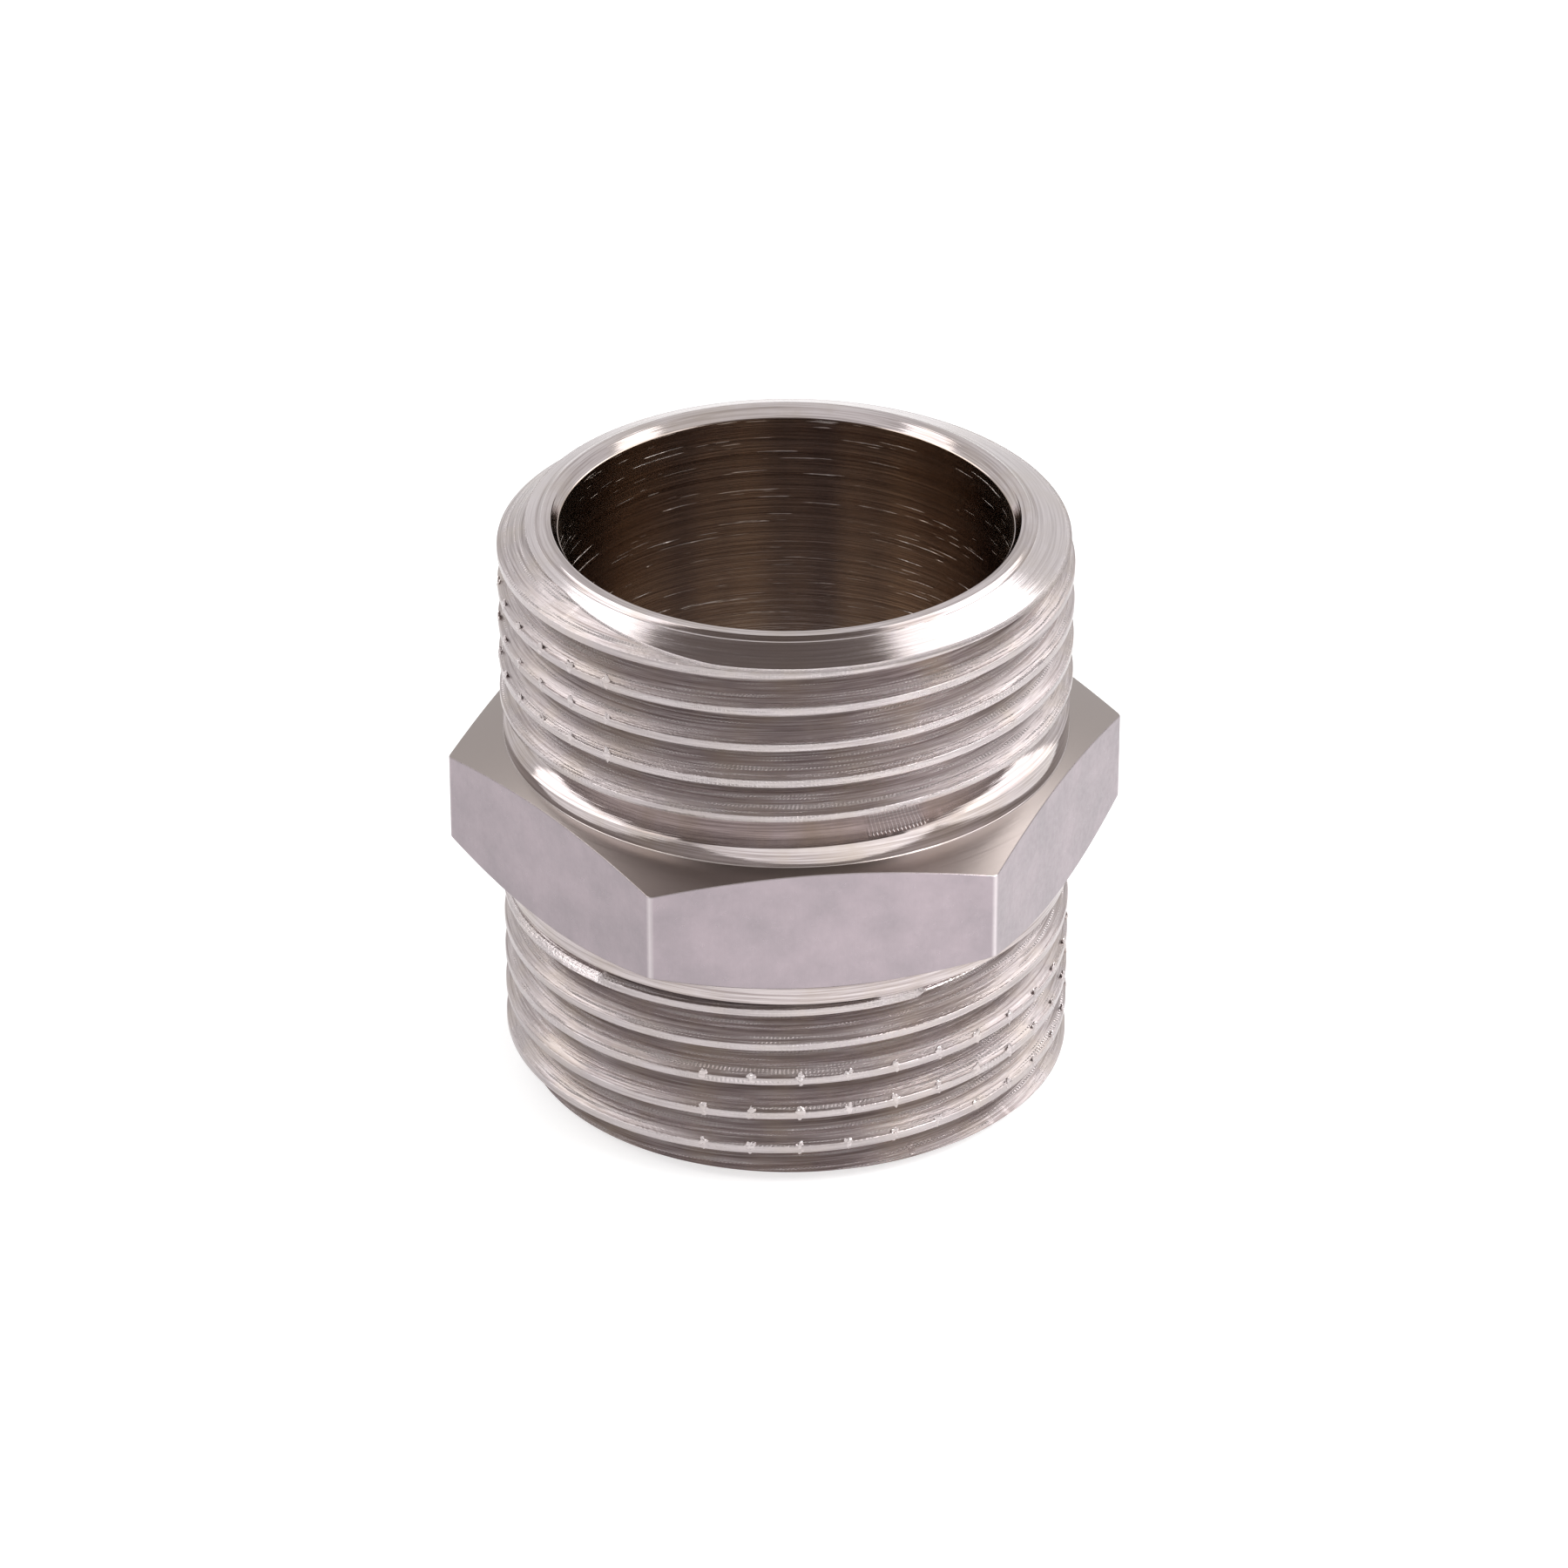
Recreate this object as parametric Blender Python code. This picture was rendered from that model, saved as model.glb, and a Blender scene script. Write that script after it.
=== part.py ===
"""Hex nipple, G1 by G1: one solid turned from hexagonal bar, with a parallel pipe thread on each end.

The origin is the centre of the lower end face, +Z runs up the bore, and two wrench flats face -Y and +Y.
Angles are in degrees about +Z, counterclockwise seen from above, with 0 at +X.
"""

import math

import bmesh
import bpy
from mathutils import Matrix, Vector

MM = 0.001

# Whole fitting
TOTAL_LENGTH = 34.9 * MM
BORE_DIAMETER = 26.0 * MM
BORE_CHAMFER_WIDTH = 0.35 * MM
BORE_CHAMFER_DEPTH = 0.55 * MM

# G1 thread, 55 degree Whitworth form with cut-off crests
MAJOR_DIAMETER = 33.0 * MM
PITCH = 25.4 * MM / 11
THREAD_DEPTH = 0.640327 * PITCH
FLANK_ANGLE = 27.5
FLAT_WIDTH = PITCH / 6  # of a crest and of a root

# Each end: a narrow raised face with a low step round it, then the chamfer that leads the thread in
END_FACE_DIAMETER = 28.0 * MM
END_STEP_WIDTH = 0.2 * MM
END_STEP_HEIGHT = 0.25 * MM
END_CHAMFER_DEPTH = 0.95 * MM

# Height of one crest of each thread on the -Y side
FRONT_ANGLE = -90.0
UPPER_CREST_HEIGHT = 31.55 * MM
LOWER_CREST_HEIGHT = 9.59 * MM

# Relief groove and collar above the hexagon
RELIEF_TOP = 24.35 * MM
RELIEF_CORNER_RADIUS = 14.8 * MM
RELIEF_CORNER_HEIGHT = 23.45 * MM
RELIEF_FILLET = 0.6 * MM
COLLAR_DIAMETER = 32.7 * MM
COLLAR_TOP = 22.68 * MM

# Hexagon, turned to a shallow cone above and below; the plain neck below it ends at NECK_BOTTOM
ACROSS_FLATS = 34.0 * MM
CORNER_BEVEL = 0.2 * MM
HEX_TOP = 21.43 * MM
HEX_TOP_SLOPE = 17.0
HEX_BOTTOM = 13.55 * MM
HEX_BOTTOM_SLOPE = 27.0
NECK_BOTTOM = 12.4 * MM

# Where each thread groove ends: its centre in the relief above, its blunt end under the neck below
UPPER_GROOVE_END_HEIGHT = 23.75 * MM
LOWER_GROOVE_END_ANGLE = -78.75

# Turned run-out under the neck, where the last crest is cut away
RUN_OUT_BOTTOM = 11.4 * MM
RUN_OUT_DEPTH = 1.15 * MM
RUN_OUT_START_ANGLE = -67.5
RUN_OUT_END_ANGLE = 225.0

# Facets
SEGMENTS = 64
STEP_ANGLE = 360 / SEGMENTS
FILLET_STEPS = 3
SHARP_EDGE_ANGLE = 30.0

# Clearances of the cutters
CUT_PAST = 1.0 * MM
GROOVE_CUT_PAST = 0.3 * MM
WELD_DISTANCE = 0.003 * MM
TRIM_RADIUS = 21.0 * MM
TRIM_ALLOWANCE = 2.0 * MM  # bar left above and below the hexagon for the trim to cut away


def clear_scene():
    for existing in list(bpy.data.objects):
        bpy.data.objects.remove(existing, do_unlink=True)


def nickel_plate():
    material = bpy.data.materials.new("nickel_plated_brass")
    material.use_nodes = True
    shader = material.node_tree.nodes["Principled BSDF"]
    shader.inputs["Base Color"].default_value = (0.62, 0.58, 0.55, 1.0)
    shader.inputs["Metallic"].default_value = 1.0
    shader.inputs["Roughness"].default_value = 0.22
    return material


def link_object(name, mesh):
    made = bpy.data.objects.new(name, mesh)
    bpy.context.scene.collection.objects.link(made)
    return made


def mesh_from_bmesh(name, shape):
    mesh = bpy.data.meshes.new(name)
    shape.to_mesh(mesh)
    shape.free()
    return mesh


def combine(made, other, operation):
    """Cuts, joins or keeps the overlap of two solids, and leaves the second one as a hidden helper."""
    boolean = made.modifiers.new(other.name, "BOOLEAN")
    boolean.operation = operation
    boolean.solver = "EXACT"
    boolean.object = other
    other.hide_render = True
    other.display_type = "WIRE"


def turned(name, profile):
    """A solid of revolution. Its (radius, height) points run down from the axis to the axis."""
    mesh = bpy.data.meshes.new(name)
    points = [(radius, 0.0, height) for radius, height in profile]
    edges = [(index, index + 1) for index in range(len(points) - 1)]
    mesh.from_pydata(points, edges, [])
    made = link_object(name, mesh)
    screw = made.modifiers.new("turn", "SCREW")
    screw.steps = SEGMENTS
    screw.render_steps = SEGMENTS
    screw.use_merge_vertices = True
    screw.merge_threshold = 0.001 * MM
    return made


def fillet(before, corner, after, radius):
    """Points of the arc that rounds a profile's corner, in order from the side before to the side after."""
    towards_before = math.atan2(before[1] - corner[1], before[0] - corner[0])
    towards_after = math.atan2(after[1] - corner[1], after[0] - corner[0])
    opening = math.remainder(towards_after - towards_before, 2 * math.pi)
    bisector = towards_before + opening / 2
    to_centre = radius / math.sin(abs(opening) / 2)
    centre = Vector(corner) + to_centre * Vector((math.cos(bisector), math.sin(bisector)))
    sweep = math.copysign(math.pi - abs(opening), opening)
    points = []
    for step in range(FILLET_STEPS + 1):
        angle = bisector + math.pi + sweep * (0.5 - step / FILLET_STEPS)
        points.append(tuple(centre + radius * Vector((math.cos(angle), math.sin(angle)))))
    return points


def end_profile():
    """The outer profile of one end as (radius, depth below its end face), from the axis outwards."""
    face = END_FACE_DIAMETER / 2
    return [
        (0.0, 0.0),
        (face, 0.0),
        (face + END_STEP_WIDTH, END_STEP_HEIGHT),
        (MAJOR_DIAMETER / 2, END_CHAMFER_DEPTH),
    ]


def turned_blank():
    """The round parts of the fitting, without thread, hexagon or bore."""
    crest = MAJOR_DIAMETER / 2
    collar = COLLAR_DIAMETER / 2
    hex_middle = (HEX_TOP + HEX_BOTTOM) / 2
    relief_start = (crest, RELIEF_TOP)
    relief_corner = (RELIEF_CORNER_RADIUS, RELIEF_CORNER_HEIGHT)
    collar_start = (collar, COLLAR_TOP)
    profile = [(radius, TOTAL_LENGTH - depth) for radius, depth in end_profile()]
    profile += [relief_start]
    profile += fillet(relief_start, relief_corner, collar_start, RELIEF_FILLET)
    profile += [collar_start, (collar, hex_middle), (crest, hex_middle)]
    profile += [(radius, depth) for radius, depth in reversed(end_profile())]
    return turned("nipple_body", profile)


def groove_centre_height(front_crest_height, step):
    turns_from_front = (step * STEP_ANGLE - FRONT_ANGLE) / 360
    return front_crest_height + PITCH * (turns_from_front + 0.5)


def step_at_height(front_crest_height, height):
    """The first facet step at which the groove's centre is at or above a height."""
    turns_from_front = (height - front_crest_height) / PITCH - 0.5
    return math.ceil((turns_from_front * 360 + FRONT_ANGLE) / STEP_ANGLE)


def groove_section():
    """The groove's own section as (radius, height from its centre), opened a little past the crests."""
    root = MAJOR_DIAMETER / 2 - THREAD_DEPTH
    mouth = MAJOR_DIAMETER / 2 + GROOVE_CUT_PAST
    root_half = FLAT_WIDTH / 2
    mouth_half = root_half + (mouth - root) * math.tan(math.radians(FLANK_ANGLE))
    return [(root, root_half), (root, -root_half), (mouth, -mouth_half), (mouth, mouth_half)]


def swept_bar(name, section, stations):
    """A bar of one (radius, height) section, swept round the axis through stations of (angle, rise)."""
    shape = bmesh.new()
    rings = []
    for angle, rise in stations:
        turn = Matrix.Rotation(math.radians(angle), 3, "Z")
        corners = [turn @ Vector((radius, 0.0, rise + height)) for radius, height in section]
        rings.append([shape.verts.new(corner) for corner in corners])
    for lower, upper in zip(rings, rings[1:]):
        for corner in range(len(section)):
            shape.faces.new((lower[corner - 1], lower[corner], upper[corner], upper[corner - 1]))
    shape.faces.new(rings[0])
    shape.faces.new(rings[-1])
    bmesh.ops.triangulate(shape, faces=shape.faces)
    bmesh.ops.recalc_face_normals(shape, faces=shape.faces)
    return link_object(name, mesh_from_bmesh(name, shape))


def groove_cutter(name, front_crest_height, first_step, last_step):
    """The groove, wound up its helix from one facet step to another."""
    stations = [
        (step * STEP_ANGLE, groove_centre_height(front_crest_height, step))
        for step in range(first_step, last_step + 1)
    ]
    return swept_bar(name, groove_section(), stations)


def upper_groove():
    first = step_at_height(UPPER_CREST_HEIGHT, UPPER_GROOVE_END_HEIGHT)
    last = step_at_height(UPPER_CREST_HEIGHT, TOTAL_LENGTH + PITCH)
    return groove_cutter("upper_groove_cutter", UPPER_CREST_HEIGHT, first, last)


def lower_groove():
    """The lower thread's groove, which dies out against the square lower edge of the neck."""
    first = step_at_height(LOWER_CREST_HEIGHT, -PITCH)
    turns_to_neck = round((NECK_BOTTOM - LOWER_CREST_HEIGHT) / PITCH)
    last = round(LOWER_GROOVE_END_ANGLE / STEP_ANGLE) + turns_to_neck * SEGMENTS
    cutter = groove_cutter("lower_groove_cutter", LOWER_CREST_HEIGHT, first, last)
    reach = MAJOR_DIAMETER / 2 + CUT_PAST
    far_below = -2 * PITCH - CUT_PAST
    below_neck = [(0.0, NECK_BOTTOM), (reach, NECK_BOTTOM), (reach, far_below), (0.0, far_below)]
    combine(cutter, turned("space_below_neck", below_neck), "INTERSECT")
    return cutter


def run_out():
    """The turned undercut beneath the neck, on the part of the round where the last crest is gone."""
    crest = MAJOR_DIAMETER / 2
    floor = crest - RUN_OUT_DEPTH
    mouth = crest + GROOVE_CUT_PAST
    flank = math.tan(math.radians(FLANK_ANGLE))
    section = [
        (floor, NECK_BOTTOM),
        (floor, RUN_OUT_BOTTOM + RUN_OUT_DEPTH * flank),
        (mouth, RUN_OUT_BOTTOM - GROOVE_CUT_PAST * flank),
        (mouth, NECK_BOTTOM),
    ]
    first = round(RUN_OUT_START_ANGLE / STEP_ANGLE)
    last = round(RUN_OUT_END_ANGLE / STEP_ANGLE)
    stations = [(step * STEP_ANGLE, 0.0) for step in range(first, last + 1)]
    return swept_bar("run_out_cutter", section, stations)


def hexagon():
    """The wrench hexagon: bar with small flats on its corners, turned to a cone above and below."""
    corner_radius = ACROSS_FLATS / math.sqrt(3)
    shape = bmesh.new()
    to_bar_start = Matrix.Translation((0.0, 0.0, HEX_BOTTOM - TRIM_ALLOWANCE))
    corner_on_x = Matrix.Rotation(math.radians(30), 4, "Z")
    bmesh.ops.create_circle(
        shape, cap_ends=True, segments=6, radius=corner_radius, matrix=to_bar_start @ corner_on_x
    )
    raised = bmesh.ops.extrude_face_region(shape, geom=shape.faces[:])["geom"]
    raised_corners = [item for item in raised if isinstance(item, bmesh.types.BMVert)]
    bar_length = HEX_TOP - HEX_BOTTOM + 2 * TRIM_ALLOWANCE
    bmesh.ops.translate(shape, verts=raised_corners, vec=(0.0, 0.0, bar_length))
    upright = [edge for edge in shape.edges if abs(edge.verts[0].co.z - edge.verts[1].co.z) > MM]
    bmesh.ops.bevel(shape, geom=upright, offset=CORNER_BEVEL, segments=1, affect="EDGES")
    bmesh.ops.recalc_face_normals(shape, faces=shape.faces)
    made = link_object("hexagon", mesh_from_bmesh("hexagon", shape))
    combine(made, hexagon_trim(), "INTERSECT")
    return made


def hexagon_trim():
    top_slope = math.tan(math.radians(HEX_TOP_SLOPE))
    bottom_slope = math.tan(math.radians(HEX_BOTTOM_SLOPE))
    collar = COLLAR_DIAMETER / 2
    neck = MAJOR_DIAMETER / 2
    profile = [
        (0.0, HEX_TOP + collar * top_slope),
        (TRIM_RADIUS, HEX_TOP - (TRIM_RADIUS - collar) * top_slope),
        (TRIM_RADIUS, HEX_BOTTOM + (TRIM_RADIUS - neck) * bottom_slope),
        (0.0, HEX_BOTTOM - neck * bottom_slope),
    ]
    return turned("hexagon_trim", profile)


def bore():
    """The through bore with the small chamfer at each mouth, carried on past both end faces."""
    radius = BORE_DIAMETER / 2
    past_radius = radius + BORE_CHAMFER_WIDTH * (1 + CUT_PAST / BORE_CHAMFER_DEPTH)
    profile = [
        (0.0, TOTAL_LENGTH + CUT_PAST),
        (past_radius, TOTAL_LENGTH + CUT_PAST),
        (radius, TOTAL_LENGTH - BORE_CHAMFER_DEPTH),
        (radius, BORE_CHAMFER_DEPTH),
        (past_radius, -CUT_PAST),
        (0.0, -CUT_PAST),
    ]
    return turned("bore_cutter", profile)


def apply_modifiers(made):
    """Turns the modifiers into one plain mesh, with the points that Booleans left side by side merged."""
    graph = bpy.context.evaluated_depsgraph_get()
    shape = bmesh.new()
    shape.from_mesh(bpy.data.meshes.new_from_object(made.evaluated_get(graph)))
    bmesh.ops.remove_doubles(shape, verts=shape.verts, dist=WELD_DISTANCE)
    bmesh.ops.dissolve_degenerate(shape, edges=shape.edges, dist=WELD_DISTANCE)
    made.modifiers.clear()
    made.data = mesh_from_bmesh(made.name, shape)


def finish(made, material):
    """Gives the part its material, with round faces smooth and machined edges crisp."""
    mesh = made.data
    mesh.materials.clear()
    mesh.materials.append(material)
    mesh.shade_smooth()
    mesh.set_sharp_from_angle(angle=math.radians(SHARP_EDGE_ANGLE))


def main():
    clear_scene()
    body = turned_blank()
    combine(body, hexagon(), "UNION")
    combine(body, upper_groove(), "DIFFERENCE")
    combine(body, lower_groove(), "DIFFERENCE")
    combine(body, run_out(), "DIFFERENCE")
    combine(body, bore(), "DIFFERENCE")
    apply_modifiers(body)
    finish(body, nickel_plate())


main()
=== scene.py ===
"""Hex nipple, G1 by G1, in nickel-plated brass: the detailed visual model, its finish, light and camera.

Sizes are in millimetres and turned into metres where a mesh or an object is made. Azimuth is in degrees
round the bore, 0 towards -Y and positive towards +X, and every pipe thread rises as its azimuth grows.
"""

import math

import bmesh
import bpy
import numpy as np
from mathutils import Matrix, Vector, noise


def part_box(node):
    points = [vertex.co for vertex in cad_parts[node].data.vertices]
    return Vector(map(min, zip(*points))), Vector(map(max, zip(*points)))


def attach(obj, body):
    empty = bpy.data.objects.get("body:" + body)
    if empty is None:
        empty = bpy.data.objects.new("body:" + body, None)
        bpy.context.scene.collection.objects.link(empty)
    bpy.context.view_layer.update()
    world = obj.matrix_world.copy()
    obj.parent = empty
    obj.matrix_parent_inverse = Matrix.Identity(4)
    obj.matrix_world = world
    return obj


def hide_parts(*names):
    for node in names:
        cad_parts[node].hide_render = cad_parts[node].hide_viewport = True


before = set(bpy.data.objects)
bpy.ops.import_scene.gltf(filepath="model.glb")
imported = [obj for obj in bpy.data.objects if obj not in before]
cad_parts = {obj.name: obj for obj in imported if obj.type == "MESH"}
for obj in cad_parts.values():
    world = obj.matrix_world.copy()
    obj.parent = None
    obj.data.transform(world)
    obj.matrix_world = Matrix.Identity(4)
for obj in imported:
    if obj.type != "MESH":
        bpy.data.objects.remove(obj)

MM = 0.001
UP = Vector((0, 0, 1))
NODE = "nipple_body"
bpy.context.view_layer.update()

# Driving sizes, from the frame
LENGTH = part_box(NODE)[1][2] / MM
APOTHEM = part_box(NODE)[1][1] / MM

# Bore and end faces
BORE_RADIUS = 13.0
MOUTH_RADIUS = 13.35
MOUTH_DEPTH = 0.55
FACE_RADIUS = 14.0
STEP_RADIUS = 14.35
STEP_DEPTH = 0.2
CHAMFER_DEPTH = 0.95

# G1 thread, 55 degree Whitworth form with cut-off crests
CREST_RADIUS = 16.5
PITCH = 25.4 / 11
FLANK_ANGLE = math.radians(27.5)
FLANK_SLOPE = 1 / math.tan(FLANK_ANGLE)
CREST_HALF_WIDTH = 0.225
CREST_ROUNDING = 0.04  # how far each side of a crest's edge it is rounded
ROOT_FILLET = 0.12
UPPER_CREST_HEIGHT = 31.55  # one crest of each thread where it crosses azimuth 0
LOWER_CREST_HEIGHT = 9.59

# Relief groove and collar
RELIEF_TOP = 24.48  # these heights are at azimuth 0, and climb with the thread's helix
RELIEF_FLOOR_RADIUS = 14.95
RELIEF_FLOOR_HEIGHT = 23.95
COLLAR_RADIUS = 16.35
COLLAR_TOP = 22.68
RIBS_FROM = 9.0  # chatter ribs across the relief
RIBS_TO = 23.0
RIBS_FADE = 2.0
RELIEF_LOWER_CURVE = 1.5  # powers that give the two sides of the groove their curve
RELIEF_UPPER_CURVE = 1.3
HELIX_LEFT_AT = 110.0  # azimuth past which the relief drops back to close on itself

# Hexagon and neck
HEX_TOP = 21.43
HEX_TOP_SLOPE = math.tan(math.radians(17))
HEX_BOTTOM = 13.55
HEX_BOTTOM_SLOPE = math.tan(math.radians(27))
HEX_CORNER_FILLET = 0.4
CORNER_HIGHLIGHT = 0.6  # how far a corner's edge is paled towards EDGE_LIGHT, a painted highlight
NECK_BOTTOM = 12.4

# The last turn of the lower thread: its groove stops dead, and a turned run-out takes over
LAST_GROOVE_END = 11.0
RUN_OUT_FROM = 19.0
RUN_OUT_FROM_FADE = 4.0
RUN_OUT_TO = -46.0
RUN_OUT_TO_FADE = 2.0
RUN_OUT_LOW = 11.4
RUN_OUT_DEPTH = 1.15
RUN_OUT_SLOPE = 1 / math.tan(math.radians(40))

# Camera, placed round the bore and aimed at a point near the middle of the fitting
CAMERA_AZIMUTH = -7.0
CAMERA_ELEVATION = 30.54
CAMERA_DISTANCE = 424.6
CAMERA_LENS = 167.8
AIM_SIDEWAYS = -0.124
AIM_HEIGHT = 17.18

# Studio, in metres: a white floor with a low light over it, a brown card overhead and soft boxes around
FLOOR_RADIUS = 4.0
FLOOR_COLOUR = (0.6, 0.6, 0.6)
FLOOR_GLOW = 0.87
CARD_HEIGHT = 0.6
CARD_ELEVATION = 57.0  # of the card's edge, seen from the fitting
CARD_COLOUR = (0.16, 0.135, 0.125)
SHEET_ROUGHNESS = 0.8
SHEET_SPECULAR = 0.1
SOFT_BOX_DISTANCE = 0.45
SOFT_BOXES = [  # (name, azimuth from straight behind, elevation, width, height, brightness)
    ("soft_box_left", 78.0, 51.0, 0.40, 0.28, 1.9),
    ("soft_box_right", -70.0, 52.0, 0.46, 0.30, 1.9),
    ("soft_box_behind_left", 26.0, 51.0, 0.09, 0.09, 2.3),
    ("soft_box_behind_right", -26.0, 50.0, 0.10, 0.10, 2.6),
]
FLOOR_LIGHT_PLACE = (0.036, -0.040, 0.04)  # it shines down on the floor, in front and to the right
FLOOR_LIGHT_SIZE = 0.035
FLOOR_LIGHT_BRIGHTNESS = 6.5
WORLD_STRENGTH = 1.0

# Burrs on the crests: rows of (crest height at azimuth 0, first azimuth, step, count)
BURR_ROWS = [(LOWER_CREST_HEIGHT - PITCH * turn, -23.7, 9.75, 13) for turn in (1, 2, 3)]
BURR_ROWS += [(UPPER_CREST_HEIGHT - PITCH * turn, -44.5, -9.75, 9) for turn in (0, 1, 2)]
BURR_RISE = 0.12  # height of its centre over the middle of the crest
BURR_RADIUS = 16.42
BURR_SIZE = (0.28, 0.11, 0.40)  # half its width, its depth into the thread and its height
BURR_GRAIN = 0.18  # size of the dents in it
BURR_ROUGHNESS = 0.6

# Finish: colours of the plated metal, and depths of its marks in millimetres
TURNED_LIGHT = (0.53, 0.475, 0.475, 1.0)
TURNED_DARK = (0.31, 0.265, 0.26, 1.0)
TURNED_WARM = (0.40, 0.34, 0.29, 1.0)
THREAD_LIGHT = (0.48, 0.43, 0.43, 1.0)
THREAD_DARK = (0.22, 0.182, 0.178, 1.0)
FACED = (0.29, 0.25, 0.235, 1.0)
FLAT_LIGHT = (0.36, 0.305, 0.33, 1.0)
FLAT_DARK = (0.30, 0.26, 0.28, 1.0)
# Bore colours: brown, darkened as painted shade and banded light and dark as painted reflection
BORE_PAINTED_REFLECTION = (0.52, 0.405, 0.31, 1.0)
BORE_PAINTED_REFLECTION_DIM = (0.41, 0.32, 0.255, 1.0)
BORE_PAINTED_SHADE = (0.27, 0.22, 0.205, 1.0)
# near-white colour of the bore's scratches: a painted glint
SCRATCH_GLINT = (0.85, 0.8, 0.78, 1.0)
# EDGE_LIGHT is the pale colour of the painted highlights on corners, end faces and chamfers; crests are paled
# towards it too
EDGE_LIGHT = (0.66, 0.61, 0.62, 1.0)
CREST_SHINE = 0.3  # how far a crest is paled towards EDGE_LIGHT
LINE_SCALE = 7500  # these scales are in features per metre
WAVE_SCALE = 1500
SCRATCH_SCALE = 8000
GRAIN_SCALE = 5000
PIT_SCALE = 2600
LUMP_SCALE = 5200
TARNISH_SCALE = 330
REFLECTION_BAND_SCALE = 160
LINE_LENGTH_RATIO = 60  # how many times longer than wide a mark is
SCRATCH_LENGTH_RATIO = 40
GRAIN_LENGTH_RATIO = 40
TURN_CHANGE_RATIO = 12  # makes the lines of one turn of a thread differ from the next
STREAK_RANGE = (0.38, 0.58)  # values of the noise between which each pattern goes from none to full
WAVE_RANGE = (0.3, 0.7)
PIT_RANGE = (0.3, 0.7)
TARNISH_RANGE = (0.45, 0.7)
MOTTLE_RANGE = (0.35, 0.65)
REFLECTION_BAND_RANGE = (0.35, 0.65)
SCRATCH_RANGE = (0.66, 0.71)
DOT_RANGE = (0.56, 0.62)
MOST_TARNISH = 0.6
SCRATCHED_FROM = 2.0  # the bore is scratched most at its sides, where the scratches' near-white colour paints glints
SCRATCHED_TO = 7.0
LEAST_SCRATCHED = 0.25
LINE_DEPTH = 0.016
WAVE_DEPTH = 0.03
LUMP_DEPTH = 0.055
RIBS_PER_TURN = 415
RIB_DEPTH = 0.04
DOT_DEPTH = 0.03
SCRATCH_DEPTH = 0.05
GRAIN_DEPTH = 0.004
PIT_DEPTH = 0.012
SMOOTHED_AWAY = 0.7  # how much of the lines' and waves' depth is gone from a smooth or faced surface
TURNED_ROUGHNESS = (0.12, 0.24)  # least and most
THREAD_ROUGHNESS = (0.2, 0.4)
FLAT_ROUGHNESS = (0.26, 0.4)
SMOOTH_ROUGHNESS = 0.07
FACED_ROUGHNESS = 0.3

# Mesh density
COLUMNS = 360
CORNER_COLUMNS = 9
CORNER_HALF_ANGLE = 0.7  # degrees each side of a corner that its extra columns cover
EDGE = 0.05  # width of the small bevel on a machined edge
MERGE_DISTANCE = 0.002
SHARP_ANGLE = 28.0


def columns():
    """Azimuth of each column of the mesh: evenly spaced, with more in the hexagon's corner fillets."""
    even = np.linspace(-180.0, 180.0, COLUMNS + 1)
    corners = np.arange(-150.0, 180.0, 60.0)
    close = np.linspace(-CORNER_HALF_ANGLE, CORNER_HALF_ANGLE, CORNER_COLUMNS)
    return np.unique(np.concatenate([even, (corners[:, None] + close).ravel()]))


AZIMUTH = columns()


def ramp(value, start, end):
    """0 before start, 1 after end, and a smooth change between them."""
    share = np.clip((value - start) / (end - start), 0.0, 1.0)
    return share * share * (3 - 2 * share)


def direction(azimuth, elevation):
    """Unit vector from the object towards a place round it."""
    azimuth = math.radians(azimuth)
    elevation = math.radians(elevation)
    level = math.cos(elevation)
    return Vector((math.sin(azimuth) * level, -math.cos(azimuth) * level, math.sin(elevation)))


def height_from_crest(height, crest_height):
    """How far each height is from the nearest crest of an endless thread, one height per column."""
    phase = (height - crest_height) / PITCH - AZIMUTH / 360
    return np.abs(phase - np.round(phase)) * PITCH


def thread_radius(height, crest_height):
    """Radius of an endless thread at each height, one height per column."""
    from_crest = height_from_crest(height, crest_height)
    from_root = PITCH / 2 - from_crest
    flank = CREST_RADIUS - (from_crest - CREST_HALF_WIDTH) * FLANK_SLOPE
    tangent = ROOT_FILLET * math.cos(FLANK_ANGLE)
    tangent_radius = CREST_RADIUS - (PITCH / 2 - tangent - CREST_HALF_WIDTH) * FLANK_SLOPE
    arc_centre = tangent_radius + ROOT_FILLET * math.sin(FLANK_ANGLE)
    arc = arc_centre - np.sqrt(np.maximum(ROOT_FILLET**2 - from_root**2, 0.0))
    in_rounding = np.clip(from_crest - CREST_HALF_WIDTH + CREST_ROUNDING, 0.0, 2 * CREST_ROUNDING)
    rounded = CREST_RADIUS - in_rounding**2 * FLANK_SLOPE / (4 * CREST_ROUNDING)
    past_rounding = from_crest > CREST_HALF_WIDTH + CREST_ROUNDING
    return np.where(from_root < tangent, arc, np.where(past_rounding, flank, rounded))


def chamfer_radius(depth):
    """Radius of the chamfer at a depth below the nearer end face."""
    share = (depth - STEP_DEPTH) / (CHAMFER_DEPTH - STEP_DEPTH)
    return STEP_RADIUS + (CREST_RADIUS - STEP_RADIUS) * share


def run_out_share():
    """How far the run-out has cut in, in each column."""
    on_right = ramp(AZIMUTH, RUN_OUT_FROM, RUN_OUT_FROM + RUN_OUT_FROM_FADE)
    on_left = 1 - ramp(AZIMUTH, RUN_OUT_TO - RUN_OUT_TO_FADE, RUN_OUT_TO)
    return on_right + on_left


def in_run_out(height):
    return run_out_share() * (height > RUN_OUT_LOW)


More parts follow.
